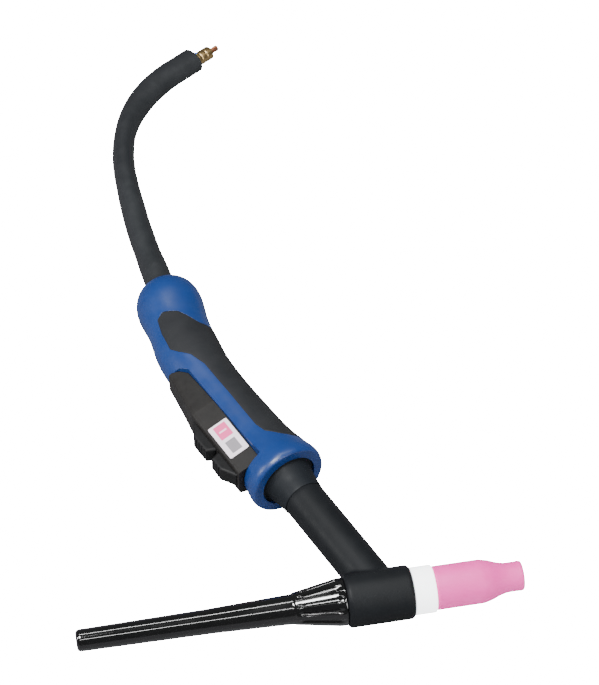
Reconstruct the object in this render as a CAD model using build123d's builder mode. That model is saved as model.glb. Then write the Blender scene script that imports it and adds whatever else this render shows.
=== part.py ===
"""A gas-cooled TIG welding torch lying on its side, with the first stretch of its cable.

Everything is drawn in millimetres from the centre of the torch head: +X runs along the head's axis
towards the gas nozzle, the neck and handle leave the head towards +Y, and the torch is symmetrical
about the plane Z = 0, apart from its screws, its label and the leads inside the cable. On saving,
each piece moves to the row frame, which has the same axes and its origin at the middle of the
neck's clamping length.

Along the handle, a station is a plane square to the handle's centre line. Its local x points to the
trigger side, its local y is +Z, and its local z points to the cable.
"""

import os
from math import cos, degrees, radians, sin, tan

from build123d import *

os.makedirs("parts", exist_ok=True)

# ---- driving dimensions -------------------------------------------------------------------------
RUN = 0.05  # radial clearance of a running fit
GAP = 0.15  # assembly gap between moulded parts

# head, along X
HEAD_RADIUS = 14.0
HEAD_BACK = -20.0
HEAD_FRONT = 14.7
CORE_RADIUS = 9.0
CORE_BACK = -16.5
CORE_FRONT = 12.0
CAP_THREAD_RADIUS = 6.4
COLLET_THREAD_RADIUS = 4.9

# heat shield and gas nozzle, along X
SHIELD_RADIUS = 12.4
NOZZLE_BACK = 26.0
NOZZLE_FRONT = 72.7
NOZZLE_BASE_RADIUS = 11.4
NOZZLE_WAIST = 52.0  # where the shoulder down to the tip begins
NOZZLE_TIP_RADIUS = 7.7
NOZZLE_TIP_START = 62.5
NOZZLE_MOUTH_RADIUS = 5.7
NOZZLE_THREAD_RADIUS = 7.0

# electrode, collet and back cap, along X
ELECTRODE_RADIUS = 1.2
ELECTRODE_LENGTH = 175.0
ELECTRODE_TIP = NOZZLE_FRONT - 0.7
COLLET_RADIUS = 2.0
CAP_FRONT = -2.5
CAP_BACK = -158.0
CAP_FLARE_END = -46.5
CAP_FLARE_RADIUS = 12.3
CAP_TUBE_RADIUS = 7.8
CAP_MIDDLE = -91.0
CAP_MIDDLE_RADIUS = 6.4
CAP_END_RADIUS = 5.7
CAP_BORE_RADIUS = 2.4
CAP_FLUTES = 12

# neck and handle: distances along the handle run from its front face
NECK_ANGLE = 112.0  # from +X, in the XY plane
NECK_RADIUS = 11.2
NECK_CLAMP = (22.5, 74.5)  # the bare length of neck that a torch holder can grip
NECK_TUBE_RADIUS = 5.0
HANDLE_START = 90.5  # from the head's centre
BEND_START = 88.0
BEND_RADIUS = 100.0
BEND_TURN = 14.0
BEND_LENGTH = BEND_RADIUS * radians(BEND_TURN)
HANDLE_LENGTH = 157.5
BALL_AT = 148.5
WALL = 2.8
INLAY_DEPTH = 1.4
BOOT_LENGTH = 15.0
BOOT_RADIUS = 15.8

# handle sections: distance, half width towards the trigger, half depth in Z
SECTIONS = (
    (0.0, 20.8, 20.8),
    (3.5, 21.9, 21.9),
    (8.5, 21.2, 20.9),
    (15.0, 19.8, 19.2),
    (25.0, 18.3, 17.2),
    (45.0, 17.2, 15.8),
    (72.0, 16.6, 15.2),
    (92.0, 17.6, 15.8),
    (110.0, 18.2, 16.6),
    (128.0, 17.7, 16.6),
    (138.0, 18.7, 18.0),
    (147.0, 18.8, 18.6),
    (153.5, 17.0, 17.0),
    (HANDLE_LENGTH, 14.2, 14.2),
)
CAVITY_SECTIONS = SECTIONS[4:10]

# switch module on the trigger side: distance, top level, half width at its floor and at its top
MODULE_SECTIONS = (
    (12.5, 23.4, 12.9, 8.2),
    (34.0, 23.4, 12.9, 8.2),
    (61.5, 23.4, 12.6, 8.0),
    (76.0, 21.0, 11.4, 7.4),
    (96.0, 18.6, 10.4, 6.4),
)
MODULE_FLOOR = 7.0
MODULE_TOP = MODULE_SECTIONS[0][1]
MODULE_WALL = 2.0
BUTTON_TOP = 28.7
BUTTON_HALF = 4.8
FLANGE_HALF = 5.25
FLANGE_THICKNESS = 1.4
REAR_BUTTON = (36.0, 59.0)
FRONT_BUTTON = (14.7, 34.2)
BOARD_SPAN = (17.5, 54.0)
BOARD_LEVEL = 14.3
BOARD_THICKNESS = 1.2
SWITCH_TOP = 18.0

# ball joint and cable
BALL_RADIUS = 11.0
SWING = 15.0
STUB_RADIUS = 6.9
STUB_BORE_RADIUS = 5.9
STUB_LENGTH = 26.0
SLEEVE_START = 8.7
SLEEVE_MOUTH_RADIUS = 8.4
SLEEVE_RADIUS = 7.8
SLEEVE_BORE_RADIUS = 6.3
HOSE_RADIUS = 3.6
HOSE_BORE_RADIUS = 2.7
HOSE_Z = -1.9
CONDUCTOR_RADIUS = 2.0
CONTROL_RADIUS = 1.7
CONTROL_Z = 3.6
CABLE_STRAIGHT = 30.0
CABLE_BENDS = ((560.0, 8.0), (156.0, 11.0), (94.0, 45.0))  # radius, turn in degrees
CABLE_TAIL = 16.0


# ---- frames and small helpers -------------------------------------------------------------------
def along(angle):
    """A unit vector in the XY plane."""
    return Vector(cos(radians(angle)), sin(radians(angle)), 0)


def station(s, z=0.0):
    """The plane square to the handle's centre line at distance s from its front face."""
    past_start = max(0.0, s - BEND_START)
    angle = NECK_ANGLE - degrees(min(past_start, BEND_LENGTH) / BEND_RADIUS)
    origin = along(NECK_ANGLE) * (HANDLE_START + min(s, BEND_START))
    origin += (along(NECK_ANGLE - 90) - along(angle - 90)) * BEND_RADIUS
    origin += along(angle) * max(0.0, past_start - BEND_LENGTH)
    return Plane(
        origin=(origin.X, origin.Y, z), x_dir=along(angle + 90), z_dir=along(angle)
    )


def on_side(s, t):
    """The point at distance s along the handle and t towards the trigger, in the plane Z = 0."""
    return tuple(station(s).from_local_coords((t, 0, 0)))


HEAD_PLANE = Plane(origin=(0, 0, 0), x_dir=(0, 1, 0), z_dir=(1, 0, 0))


def head_plane(x):
    """The plane square to the head's axis at x, looking towards the nozzle."""
    return HEAD_PLANE.offset(x)


def neck_plane(distance):
    """The plane square to the neck's straight axis at a distance from the head's centre."""
    axis = along(NECK_ANGLE)
    return Plane(origin=axis * distance, x_dir=along(NECK_ANGLE + 90), z_dir=axis)


ROW_ORIGIN = along(NECK_ANGLE) * (sum(NECK_CLAMP) / 2)


def save(part, name):
    """Moves a finished piece into the row frame, labels it and writes its STEP."""
    placed = part.moved(Location(ROW_ORIGIN * -1))
    placed.label = name
    export_step(placed, f"parts/{name}.step")


def revolved(points):
    """A solid turned about the X axis from its half outline, as (x, radius) points."""
    with BuildPart() as solid:
        with BuildSketch():
            with BuildLine():
                Polyline(*points, close=True)
            make_face()
        revolve(axis=Axis.X)
    return solid.part


def side_prism(points, half_height, rounding=0.0, draw_in=0.0):
    """A prism in Z over a side-view outline of (s, t) points, with rounded corners if asked."""
    with BuildPart() as prism:
        with BuildSketch(Plane.XY.offset(-half_height)) as outline:
            with BuildLine():
                Polyline(*[on_side(s, t) for s, t in points], close=True)
            make_face()
            if rounding:
                fillet(outline.vertices(), rounding)
            if draw_in:
                offset(amount=-draw_in, mode=Mode.REPLACE)
        extrude(amount=2 * half_height)
    return prism.part


def side_box(start, end, low, high, half_height):
    """A block between two distances along the handle and two levels towards the trigger."""
    return side_prism(((start, low), (end, low), (end, high), (start, high)), half_height)


def half(part, side):
    """The part's half above (side 1) or below (side -1) the plane Z = 0."""
    with BuildPart() as kept:
        add(part)
        split(bisect_by=Plane.XY, keep=Keep.TOP if side > 0 else Keep.BOTTOM)
    return kept.part


# ---- head: brass core, copper neck tube and rubber insulator ---------------------------------------
CORE_NECK_RADIUS = 7.0
CORE_NECK_END = 20.0
NECK_TUBE_START = 12.0
NECK_TUBE_END = HANDLE_START + 52
NECK_END = HANDLE_START + 7
BOOT_SEAT_RADIUS = NECK_RADIUS - 0.2
with BuildPart() as torch_body:
    with BuildSketch(head_plane(CORE_BACK)):
        Circle(CORE_RADIUS)
    extrude(amount=CORE_FRONT - CORE_BACK)
    with BuildSketch(neck_plane(0)):
        Circle(CORE_NECK_RADIUS)
    extrude(amount=CORE_NECK_END)
    # threads for the back cap and the collet body
    with BuildSketch(head_plane(CORE_BACK)):
        Circle(CAP_THREAD_RADIUS + RUN)
    extrude(amount=-CORE_BACK - 1, mode=Mode.SUBTRACT)
    with BuildSketch(head_plane(-1)):
        Circle(COLLET_THREAD_RADIUS + RUN)
    extrude(amount=CORE_FRONT + 1, mode=Mode.SUBTRACT)
    # gas way and seat for the neck tube
    with BuildSketch(neck_plane(4)):
        Circle(3)
    extrude(amount=CORE_NECK_END, mode=Mode.SUBTRACT)
    with BuildSketch(neck_plane(NECK_TUBE_START)):
        Circle(NECK_TUBE_RADIUS)
    extrude(amount=CORE_NECK_END, mode=Mode.SUBTRACT)
save(torch_body.part, "torch_body")

with BuildPart() as neck_tube:
    with BuildSketch(neck_plane(NECK_TUBE_START)):
        Circle(NECK_TUBE_RADIUS)
        Circle(3.4, mode=Mode.SUBTRACT)
    extrude(amount=NECK_TUBE_END - NECK_TUBE_START)
save(neck_tube.part, "neck_tube")

with BuildPart() as head_insulator:
    with BuildSketch(head_plane(HEAD_BACK)):
        Circle(HEAD_RADIUS)
    extrude(amount=HEAD_FRONT - HEAD_BACK)
    chamfer(head_insulator.faces().filter_by(Axis.X).edges(), 1.2)
    # the neck: the bare clamping length and a thinner seat for the boot
    for start, end, radius in (
        (0, NECK_CLAMP[1], NECK_RADIUS),
        (NECK_CLAMP[1], NECK_END, BOOT_SEAT_RADIUS),
    ):
        with BuildSketch(neck_plane(start)):
            Circle(radius)
        extrude(amount=end - start)
    # seat of the brass core, the cap's mouth and the heat shield's mouth
    for start, end, radius in (
        (CORE_BACK, CORE_FRONT, CORE_RADIUS),
        (HEAD_BACK, CORE_BACK, 8.4),
        (CORE_FRONT, HEAD_FRONT, 8.0),
    ):
        with BuildSketch(head_plane(start)):
            Circle(radius)
        extrude(amount=end - start, mode=Mode.SUBTRACT)
    with BuildSketch(neck_plane(0)):
        Circle(CORE_NECK_RADIUS)
    extrude(amount=CORE_NECK_END, mode=Mode.SUBTRACT)
    with BuildSketch(neck_plane(CORE_NECK_END)):
        Circle(NECK_TUBE_RADIUS)
    extrude(amount=NECK_END, mode=Mode.SUBTRACT)
save(head_insulator.part, "head_insulator")


# ---- consumables on the head's axis ----------------------------------------------------------------
BODY_SHOULDER_RADIUS = 5.8
save(
    revolved(
        (
            (CORE_FRONT + GAP, BODY_SHOULDER_RADIUS + RUN),
            (CORE_FRONT + GAP, 7.9),
            (HEAD_FRONT, 7.9),
            (HEAD_FRONT, SHIELD_RADIUS - 0.5),
            (HEAD_FRONT + 0.5, SHIELD_RADIUS),
            (NOZZLE_BACK - 0.8, SHIELD_RADIUS),
            (NOZZLE_BACK, SHIELD_RADIUS - 0.8),
            (NOZZLE_BACK, BODY_SHOULDER_RADIUS + RUN),
        )
    ),
    "heat_shield_ring",
)

BODY_FRONT = 46.0
BODY_BORE_END = BODY_FRONT - 3
BODY_THREAD_END = 38.0
with BuildPart() as collet_body:
    add(
        revolved(
            (
                (0.5, COLLET_RADIUS + RUN),
                (0.5, COLLET_THREAD_RADIUS),
                (CORE_FRONT, COLLET_THREAD_RADIUS),
                (CORE_FRONT, BODY_SHOULDER_RADIUS),
                (NOZZLE_BACK, BODY_SHOULDER_RADIUS),
                (NOZZLE_BACK + 0.2, NOZZLE_THREAD_RADIUS - RUN),
                (BODY_THREAD_END, NOZZLE_THREAD_RADIUS - RUN),
                (BODY_THREAD_END + 1, 6.0),
                (BODY_FRONT - 2, 4.6),
                (BODY_FRONT, 2.6),
                (BODY_FRONT, ELECTRODE_RADIUS + 0.1),
                (BODY_BORE_END, COLLET_RADIUS + RUN),
            )
        )
    )
    # the ring of gas holes that leads the gas into the nozzle
    for k in range(4):
        turn = radians(45 + 90 * k)
        with BuildSketch(Plane(origin=(41, 0, 0), z_dir=(0, cos(turn), sin(turn)))):
            Circle(0.8)
        extrude(amount=8, mode=Mode.SUBTRACT)
save(collet_body.part, "collet_body")

COLLET_BACK = -9.0
COLLET_FRONT = BODY_BORE_END - 0.2
COLLET_CUT_LENGTH = 20.0
with BuildPart() as collet:
    add(
        revolved(
            (
                (COLLET_BACK, ELECTRODE_RADIUS + RUN),
                (COLLET_BACK, 3.0),
                (COLLET_BACK + 2.5, 3.0),
                (COLLET_BACK + 3.5, COLLET_RADIUS),
                (COLLET_FRONT, COLLET_RADIUS),
                (COLLET_FRONT, ELECTRODE_RADIUS + RUN),
            )
        )
    )
    # one saw cut across the nose, so that it closes on the electrode
    with Locations((COLLET_FRONT + 0.1 - COLLET_CUT_LENGTH / 2, 0, 0)):
        Box(COLLET_CUT_LENGTH, 0.5, 6, mode=Mode.SUBTRACT)
save(collet.part, "collet")

ELECTRODE_BACK = ELECTRODE_TIP - ELECTRODE_LENGTH
save(
    revolved(
        (
            (ELECTRODE_BACK, 0),
            (ELECTRODE_BACK, ELECTRODE_RADIUS),
            (ELECTRODE_TIP - 5.5, ELECTRODE_RADIUS),
            (ELECTRODE_TIP, 0.15),
            (ELECTRODE_TIP, 0),
        )
    ),
    "tungsten_electrode",
)

NOZZLE_SEAT = NOZZLE_BACK + 0.1
NOZZLE_BEAD = 0.2
save(
    revolved(
        (
            (NOZZLE_SEAT, NOZZLE_THREAD_RADIUS + RUN),
            (NOZZLE_SEAT, NOZZLE_BASE_RADIUS - 0.4),
            (NOZZLE_SEAT + 0.4, NOZZLE_BASE_RADIUS),
            (NOZZLE_WAIST, NOZZLE_BASE_RADIUS - 0.1),
            (NOZZLE_WAIST + 3, NOZZLE_BASE_RADIUS - 0.9),
            (NOZZLE_TIP_START - 2, NOZZLE_TIP_RADIUS + 0.8),
            (NOZZLE_TIP_START + 1, NOZZLE_TIP_RADIUS),
            (NOZZLE_FRONT - 3.5, NOZZLE_TIP_RADIUS),
            (NOZZLE_FRONT - 2.5, NOZZLE_TIP_RADIUS + NOZZLE_BEAD),
            (NOZZLE_FRONT - 0.8, NOZZLE_TIP_RADIUS + NOZZLE_BEAD),
            (NOZZLE_FRONT, NOZZLE_TIP_RADIUS - 0.4),
            (NOZZLE_FRONT, NOZZLE_MOUTH_RADIUS + 0.4),
            (NOZZLE_FRONT - 0.6, NOZZLE_MOUTH_RADIUS),
            (NOZZLE_TIP_START - 1, NOZZLE_MOUTH_RADIUS),
            (NOZZLE_WAIST - 1, NOZZLE_THREAD_RADIUS + RUN),
        )
    ),
    "gas_nozzle",
)


# ---- back cap, its seal and its grip flutes ----------------------------------------------------------
CAP_SHOULDER = HEAD_BACK - 0.1
CAP_NECK_RADIUS = 6.0
with BuildPart() as back_cap:
    add(
        revolved(
            (
                (CAP_FRONT, 3.4),
                (CAP_FRONT, CAP_THREAD_RADIUS - 0.6),
                (CAP_FRONT - 0.6, CAP_THREAD_RADIUS),
                (CORE_BACK + 0.2, CAP_THREAD_RADIUS),
                (CORE_BACK, CAP_NECK_RADIUS),
                (CAP_SHOULDER, CAP_NECK_RADIUS),
                (CAP_SHOULDER, CAP_FLARE_RADIUS - 0.5),
                (CAP_SHOULDER - 0.5, CAP_FLARE_RADIUS),
                (CAP_SHOULDER - 5, CAP_FLARE_RADIUS - 0.2),
                (CAP_FLARE_END, CAP_TUBE_RADIUS + 0.5),
                (CAP_FLARE_END - 0.6, CAP_TUBE_RADIUS),
                (CAP_MIDDLE, CAP_MIDDLE_RADIUS),
                (CAP_BACK + 1.2, CAP_END_RADIUS),
                (CAP_BACK, CAP_END_RADIUS - 1.2),
                (CAP_BACK, 0),
                (CAP_BACK + 3, 0),
                (CAP_BACK + 3, CAP_BORE_RADIUS),
                (CAP_FRONT - 9, CAP_BORE_RADIUS),
                (CAP_FRONT - 5, 3.4),
            )
        )
    )
    # grip flutes, sunk along the flare
    for k in range(CAP_FLUTES):
        turn = radians(360 / CAP_FLUTES * (k + 0.5))
        outward = Vector(0, cos(turn), sin(turn))
        tail = Vector(CAP_FLARE_END + 4, 0, 0) + outward * (CAP_TUBE_RADIUS + 1.6)
        nose = Vector(CAP_SHOULDER - 4, 0, 0) + outward * (CAP_FLARE_RADIUS + 0.7)
        run = nose - tail
        with BuildSketch(Plane(origin=tail, x_dir=outward, z_dir=run.normalized())):
            Circle(1.3)
        extrude(amount=run.length, mode=Mode.SUBTRACT)
save(back_cap.part, "back_cap")

CORD_RADIUS = 1.1
with BuildPart() as cap_seal:
    with BuildSketch():
        with Locations(((CAP_SHOULDER + CORE_BACK) / 2, CAP_NECK_RADIUS + RUN + CORD_RADIUS)):
            Circle(CORD_RADIUS)
    revolve(axis=Axis.X)
save(cap_seal.part, "cap_seal")


# ---- handle: outer form, soft grip and the seat of the switch module ---------------------------------
def handle_form(inset, sections=SECTIONS):
    """The handle's outside, drawn in by inset all round."""
    with BuildPart() as form:
        for s, half_width, half_depth in sections:
            with BuildSketch(station(s)):
                Ellipse(half_width - inset, half_depth - inset)
        loft()
    return form.part


OUTER = handle_form(0)
BEYOND = 30.0  # well outside the handle on any side

# the screws that join the two shells: place on the side view, then levels in Z
SCREWS_AT = ((20.0, -11.0), (99.5, 12.4), (135.5, 10.5))
BOSS_RADIUS = 3.4
SCREW_RADIUS = 1.35
SCREW_TIP = 6.5
SCREW_HEAD = -6.0
SCREW_HEAD_RADIUS = 2.5


def screw_plane(place, z):
    """The plane across a screw's axis at height z, looking down towards its head."""
    x, y, _ = on_side(*place)
    return Plane(origin=(x, y, z), z_dir=(0, 0, -1))


with BuildPart() as driver_ways:
    # the counterbores, by which a driver reaches the screws' heads from below
    for place in SCREWS_AT:
        with BuildSketch(screw_plane(place, SCREW_HEAD)):
            Circle(SCREW_HEAD_RADIUS + GAP)
        extrude(amount=BEYOND)

# side-view outline of the soft grip: the nozzle side, with a window that reaches the trigger side
GRIP_OUTLINE = (
    (13.0, -BEYOND),
    (14.0, -12.0),
    (17.5, -6.0),
    (24.0, 0.0),
    (31.0, 1.4),
    (60.0, 1.0),
    (84.0, 1.4),
    (94.0, 4.4),
    (99.5, 9.0),
    (104.0, 12.0),
    (116.0, 12.6),
    (127.0, 12.0),
    (129.5, 8.0),
    (126.0, 0.0),
    (116.0, -9.0),
    (112.0, -BEYOND),
)
with BuildPart() as grip_skin:
    add(OUTER)
    add(handle_form(INLAY_DEPTH), mode=Mode.SUBTRACT)
    add(side_prism(GRIP_OUTLINE, BEYOND, rounding=1.8), mode=Mode.INTERSECT)
save(half(grip_skin.part, 1), "grip_inlay_left")
with BuildPart() as grip_right:
    add(half(grip_skin.part, -1))
    add(driver_ways.part, mode=Mode.SUBTRACT)
save(grip_right.part, "grip_inlay_right")

# side-view outline of the module's seat, open towards the trigger side
MODULE_START = MODULE_SECTIONS[0][0]
SEAT_FLOOR = ((MODULE_START, 9.8), (44.0, 9.4), (76.0, 9.6))
SEAT_END = 93.5
SEAT_OUTLINE = SEAT_FLOOR + (
    (87.5, 9.8),
    (92.0, 13.0),
    (SEAT_END, 17.0),
    (SEAT_END, BEYOND),
    (MODULE_START, BEYOND),
)
SEAT = side_prism(SEAT_OUTLINE, BEYOND, rounding=1.4)

BALL_PLANE = station(BALL_AT)
SOCKET_MOUTH = 8.9  # where the swinging sleeve crosses the ball's centre plane
MOUTH_DEPTH = 3.0  # recess of the boot's flange in the front face
FRONT_CAVITY_RADIUS = 14.4
FRONT_CAVITY_LENGTH = 25.0
WEB_START = 26.0
WEB_THICKNESS = 4.0
CABLE_WAY_START = BALL_AT - 23
CABLE_WAY_LENGTH = 19.0


with BuildPart() as handle_frame:
    # bosses for the screws and a web that holds the neck tube, kept inside the outer form
    for place in SCREWS_AT:
        with BuildSketch(screw_plane(place, BEYOND)):
            Circle(BOSS_RADIUS)
        extrude(amount=2 * BEYOND)
    with BuildSketch(neck_plane(HANDLE_START + WEB_START)):
        Circle(BEYOND)
        Circle(NECK_TUBE_RADIUS + RUN, mode=Mode.SUBTRACT)
    extrude(amount=WEB_THICKNESS)
    add(OUTER, mode=Mode.INTERSECT)

with BuildPart() as handle_body:
    add(OUTER)
    fillet(handle_body.faces().sort_by(Axis.Y).first.edges(), 1.2)
    # cavity: round behind the front face, then following the outside
    with BuildSketch(neck_plane(HANDLE_START)):
        Circle(FRONT_CAVITY_RADIUS)
    extrude(amount=FRONT_CAVITY_LENGTH, mode=Mode.SUBTRACT)
    add(handle_form(WALL, CAVITY_SECTIONS), mode=Mode.SUBTRACT)
    add(handle_frame.part)
    add(grip_skin.part, mode=Mode.SUBTRACT)
    add(SEAT, mode=Mode.SUBTRACT)
    with BuildSketch(neck_plane(HANDLE_START - 2)):
        Circle(BOOT_RADIUS + 0.1)
    extrude(amount=MOUTH_DEPTH + 2, mode=Mode.SUBTRACT)
    # socket of the ball joint, its mouth, and the way through to the cavity
    with Locations(Location(BALL_PLANE)):
        Sphere(BALL_RADIUS + RUN, mode=Mode.SUBTRACT)
    with BuildSketch(BALL_PLANE):
        Circle(SOCKET_MOUTH)
    with BuildSketch(BALL_PLANE.offset(10)):
        Circle(SOCKET_MOUTH + 10 * tan(radians(SWING)))
    loft(mode=Mode.SUBTRACT)
    with BuildSketch(station(CABLE_WAY_START)):
        Ellipse(6.0, 8.0)
    extrude(amount=CABLE_WAY_LENGTH, mode=Mode.SUBTRACT)

for side, name in ((1, "handle_shell_left"), (-1, "handle_shell_right")):
    with BuildPart() as shell:
        add(half(handle_body.part, side))
        for place in SCREWS_AT:
            with BuildSketch(screw_plane(place, SCREW_TIP + 0.5)):
                Circle(SCREW_RADIUS + RUN)
            extrude(amount=SCREW_TIP - SCREW_HEAD + 0.5, mode=Mode.SUBTRACT)
        if side < 0:
            add(driver_ways.part, mode=Mode.SUBTRACT)
    save(shell.part, name)

with BuildPart() as shell_screws:
    for place in SCREWS_AT:
        with BuildSketch(screw_plane(place, SCREW_TIP)):
            Circle(SCREW_RADIUS)
        extrude(amount=SCREW_TIP - SCREW_HEAD)
        with BuildSketch(screw_plane(place, SCREW_HEAD)):
            Circle(SCREW_HEAD_RADIUS)
        extrude(amount=2.2)
        with BuildSketch(screw_plane(place, SCREW_HEAD - 1)):
            Rectangle(2.8, 0.7)
            Rectangle(0.7, 2.8)
        extrude(amount=3, mode=Mode.SUBTRACT)
save(shell_screws.part, "shell_screws")

# the rubber boot that closes the handle's front round the neck
BOOT_START = HANDLE_START - BOOT_LENGTH
BOOT_BORE = BOOT_SEAT_RADIUS + RUN
BOOT_FLANGE_START = HANDLE_START + 1.2
BOOT_FLANGE_END = HANDLE_START + MOUTH_DEPTH - 0.1
BOOT_SPIGOT_RADIUS = FRONT_CAVITY_RADIUS - 0.1
with BuildPart() as neck_boot:
    with BuildSketch(Plane(origin=(0, 0, 0), x_dir=along(NECK_ANGLE), z_dir=(0, 0, 1))):
        with BuildLine():
            Polyline(
                (BOOT_START, BOOT_BORE),
                (BOOT_START, NECK_RADIUS + 0.3),
                (BOOT_START + 7, NECK_RADIUS + 0.9),
                (HANDLE_START - 3, NECK_RADIUS + 2.0),
                (BOOT_FLANGE_START, NECK_RADIUS + 3.2),
                (BOOT_FLANGE_START, BOOT_RADIUS),
                (BOOT_FLANGE_END, BOOT_RADIUS),
                (BOOT_FLANGE_END, BOOT_SPIGOT_RADIUS),
                (NECK_END, BOOT_SPIGOT_RADIUS),
                (NECK_END, BOOT_BORE),
                close=True,
            )
        make_face()
    revolve(axis=Axis((0, 0, 0), along(NECK_ANGLE)))
save(neck_boot.part, "neck_boot")


# ---- switch module -----------------------------------------------------------------------------------
LEVEL_SECTIONS = MODULE_SECTIONS[:3]
SLOPING_SECTIONS = MODULE_SECTIONS[2:]


def module_profile(section, draw_in, rounding):
    """The module's section, flat on XY: wider at its floor, with its top corners rounded."""
    _, top, floor_half, top_half = section
    with BuildSketch() as flat:
        with BuildLine():
            Polyline(
                (MODULE_FLOOR, floor_half - draw_in),
                (top - draw_in, top_half - draw_in),
                (top - draw_in, draw_in - top_half),
                (MODULE_FLOOR, draw_in - floor_half),
                close=True,
            )
        make_face()
        fillet(flat.vertices().group_by(Axis.X)[-1], rounding)
    return flat.sketch


def module_form(draw_in, rounding):
    """The module's block, drawn in all round: level under the buttons, then sloping to the rear."""
    with BuildPart() as form:
        for section in LEVEL_SECTIONS:
            with BuildSketch(station(section[0])):
                add(module_profile(section, draw_in, rounding))
        loft(ruled=True)
        for section in SLOPING_SECTIONS:
            with BuildSketch(station(section[0])):
                add(module_profile(section, draw_in, rounding))
        loft()
    return form.part


LEAD_EXIT = 76.0
HOLLOW_END = 82.0
hollow_rise = GAP + MODULE_WALL
hollow_floor = [(max(s, MODULE_START + hollow_rise), t + hollow_rise) for s, t in SEAT_FLOOR]
hollow_ends = [(HOLLOW_END, 15.8), (HOLLOW_END, BEYOND), (MODULE_START + hollow_rise, BEYOND)]
with BuildPart() as hollow:
    add(module_form(MODULE_WALL, 0.2))
    add(side_prism(hollow_floor + hollow_ends, BEYOND), mode=Mode.INTERSECT)

with BuildPart() as switch_module_housing:
    add(module_form(0, 2.2))
    add(side_prism(SEAT_OUTLINE, BEYOND, rounding=1.4, draw_in=GAP), mode=Mode.INTERSECT)
    add(hollow.part, mode=Mode.SUBTRACT)
    for front, back in (REAR_BUTTON, FRONT_BUTTON):
        add(
            side_box(front - GAP, back + GAP, MODULE_TOP - 3, BEYOND, BUTTON_HALF + GAP),
            mode=Mode.SUBTRACT,
        )
    # the way out for the lead, through the floor
    exit_station = station(LEAD_EXIT)
    with BuildSketch(Plane(origin=on_side(LEAD_EXIT, 16.6), z_dir=exit_station.x_dir)):
        Circle(2.4)
    extrude(amount=-8, mode=Mode.SUBTRACT)
save(switch_module_housing.part, "switch_module_housing")

FLANGE_TOP = MODULE_TOP - MODULE_WALL - 0.45


def push_button(span, front_lead, back_lead, ribs):
    """A push button: a flange inside the module and a rounded, ribbed top outside it."""
    front, back = span
    shoulder = MODULE_TOP + 0.6
    outline = (
        (front, FLANGE_TOP - FLANGE_THICKNESS),
        (front, shoulder),
        (front + front_lead, BUTTON_TOP),
        ((front + back) / 2, BUTTON_TOP + 0.3),
        (back - back_lead, BUTTON_TOP),
        (back, shoulder),
        (back, FLANGE_TOP - FLANGE_THICKNESS),
    )
    with BuildPart() as part:
        add(side_prism(outline, BUTTON_HALF))
        long_edges = [
            edge
            for edge in part.edges()
            if abs(abs(edge.center().Z) - BUTTON_HALF) < 0.01
            and station((front + back) / 2).to_local_coords(edge.center()).X > shoulder + 0.3
        ]
        fillet(long_edges, 1.5)
        for s in ribs:
            cut = side_box(s - 0.4, s + 0.4, BUTTON_TOP - 0.3, BEYOND, BUTTON_HALF)
            add(cut, mode=Mode.SUBTRACT)
        add(
            side_box(
                front + 0.4, back - 0.4, FLANGE_TOP - FLANGE_THICKNESS, FLANGE_TOP, FLANGE_HALF
            )
        )
    return part.part


RIB_PITCH = 2.6
REAR_MIDDLE = sum(REAR_BUTTON) / 2
FRONT_MIDDLE = sum(FRONT_BUTTON) / 2
save(
    push_button(REAR_BUTTON, 2.0, 8.0, [REAR_MIDDLE + RIB_PITCH * k for k in (-3, -2, -1, 0)]),
    "trigger_button_rear",
)
save(
    push_button(FRONT_BUTTON, 8.0, 2.0, [FRONT_MIDDLE + RIB_PITCH * k for k in (0, 1, 2)]),
    "trigger_button_front",
)

# electronics under the buttons: board, two microswitches and their plungers
save(
    side_box(*BOARD_SPAN, BOARD_LEVEL, BOARD_LEVEL + BOARD_THICKNESS, 7.5), "switch_board"
)

PLUNGER_TOP = FLANGE_TOP - FLANGE_THICKNESS
PLUNGER_RADIUS = 1.2
PLUNGER_DIP = 0.8


def plunger_plane(s, level):
    """The plane across a plunger's axis at a level, looking towards the trigger."""
    axis = station(s)
    return Plane(origin=axis.from_local_coords((level, 0, 0)), z_dir=axis.x_dir)


with BuildPart() as micro_switches:
    for middle in (REAR_MIDDLE, FRONT_MIDDLE):
        add(
            side_box(
                middle - 3.2, middle + 3.2, BOARD_LEVEL + BOARD_THICKNESS, SWITCH_TOP, 3.2
            )
        )
        with BuildSketch(plunger_plane(middle, SWITCH_TOP)):
            Circle(PLUNGER_RADIUS + RUN)
        extrude(amount=-2.4, mode=Mode.SUBTRACT)
save(micro_switches.part, "micro_switches")

for middle, name in ((REAR_MIDDLE, "plunger_rear"), (FRONT_MIDDLE, "plunger_front")):
    with BuildPart() as plunger:
        with BuildSketch(plunger_plane(middle, SWITCH_TOP - PLUNGER_DIP)):
            Circle(PLUNGER_RADIUS)
        extrude(amount=PLUNGER_TOP - GAP - SWITCH_TOP + PLUNGER_DIP)
    save(plunger.part, name)

# the rating label, laid on the module's sloping left side
LABEL_LENGTH = 24.0
LABEL_WIDTH = 12.0
LABEL_MIDDLE = 34.8
LABEL_HEIGHT = 9.6  # of its centre, up the module's sloping side
LABEL_THICKNESS = 0.25
_, label_top, label_floor_half, label_top_half = MODULE_SECTIONS[1]
label_station = station(LABEL_MIDDLE)
slope_low = label_station.from_local_coords((MODULE_FLOOR, label_floor_half, 0))
slope_high = label_station.from_local_coords((label_top, label_top_half, 0))
slope = (Vector(*slope_high) - Vector(*slope_low)).normalized()
label_normal = slope.cross(label_station.z_dir)
if label_normal.Z < 0:
    label_normal = label_normal * -1
label_centre = Vector(*slope_low) + slope * LABEL_HEIGHT + label_normal * LABEL_THICKNESS
with BuildPart() as rating_label:
    with BuildSketch(Plane(origin=label_centre, x_dir=label_station.z_dir, z_dir=label_normal)):
        RectangleRounded(LABEL_LENGTH, LABEL_WIDTH, 0.8)
    extrude(amount=LABEL_THICKNESS)
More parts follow.
